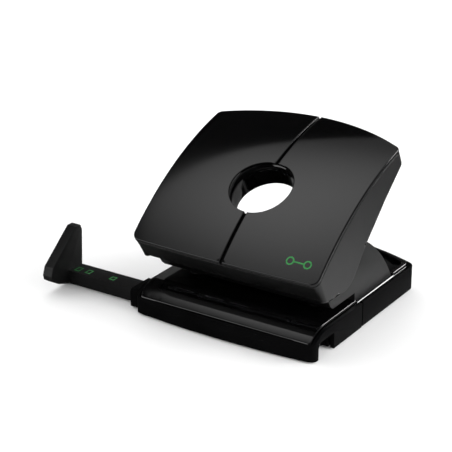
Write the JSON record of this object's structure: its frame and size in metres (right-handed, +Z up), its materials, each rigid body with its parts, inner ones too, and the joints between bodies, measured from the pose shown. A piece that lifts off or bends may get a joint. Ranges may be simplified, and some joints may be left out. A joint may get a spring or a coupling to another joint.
{
  "type": "hole punch",
  "caption": "Desk punch with a wide arched lever, finger hole, C-shaped punch housing, pull-out chip tray and sliding paper guide.",
  "frame": {"origin": "on the rest face under the feet, under the middle of the base", "axes": "+X to the right along the paper's edge, +Y to the back, +Z up"},
  "size_m": [0.1816, 0.139, 0.1006],
  "materials": {
    "gloss_black": "polished black ABS",
    "satin_black": "fine satin black plastic",
    "base_black": "fine matt black plastic",
    "rubber": "matt black rubber",
    "zinc_steel": "zinc-plated pressed steel",
    "ground_steel": "ground hardened steel",
    "brass": "turned sintered bronze"
  },
  "bodies": {
    "base": {"base_frame": "base_black", "rubber_feet": "rubber", "deck": "gloss_black", "punch_housing": "satin_black", "bracket_left": "zinc_steel", "bracket_right": "zinc_steel", "die_left": "ground_steel", "die_right": "ground_steel", "guide_bush_left": "brass", "guide_bush_right": "brass", "return_spring_left": "ground_steel", "return_spring_right": "ground_steel", "axle": "ground_steel", "axle_clips": "zinc_steel", "base_screws": "zinc_steel", "bracket_screws": "zinc_steel", "guide_click_spring": "zinc_steel"},
    "lever": {"lever_shell": "satin_black", "lever_plate_left": "gloss_black", "lever_plate_right": "gloss_black", "finger_sleeve": "gloss_black", "lever_yoke_left": "zinc_steel", "lever_yoke_right": "zinc_steel", "press_bar_left": "ground_steel", "press_bar_right": "ground_steel", "lever_screws": "zinc_steel"},
    "punch_left": {"punch_pin_left": "ground_steel", "spring_collar_left": "zinc_steel"},
    "punch_right": {"punch_pin_right": "ground_steel", "spring_collar_right": "zinc_steel"},
    "chip_drawer": {"chip_tray": "base_black"},
    "guide": {"paper_guide": "base_black"}
  },
  "joints": [
    {"name": "lever_hinge", "type": "hinge", "parent": "base", "child": "lever", "pos_m": [0, -0.04, 0.035], "axis": [-1, 0, 0], "range_deg": [0, 22], "stiffness_Nm_per_rad": 2, "springref_deg": -17.19},
    {"name": "punch_left_slide", "type": "slide", "parent": "base", "child": "punch_left", "axis": [0, 0, -1], "range_m": [0, 0.0076], "deforming": ["return_spring_left"]},
    {"name": "punch_right_slide", "type": "slide", "parent": "base", "child": "punch_right", "axis": [0, 0, -1], "range_m": [0, 0.0076], "deforming": ["return_spring_right"]},
    {"name": "tray_slide", "type": "slide", "parent": "base", "child": "chip_drawer", "axis": [0, 1, 0], "range_m": [0, 0.06]},
    {"name": "guide_slide", "type": "slide", "parent": "base", "child": "guide", "axis": [1, 0, 0], "range_m": [-0.035, 0.046]}
  ],
  "couplings": [
    {"joint": "punch_left_slide", "follows": "lever_hinge", "m_per_rad": 0.01953},
    {"joint": "punch_right_slide", "follows": "lever_hinge", "m_per_rad": 0.01953}
  ]
}
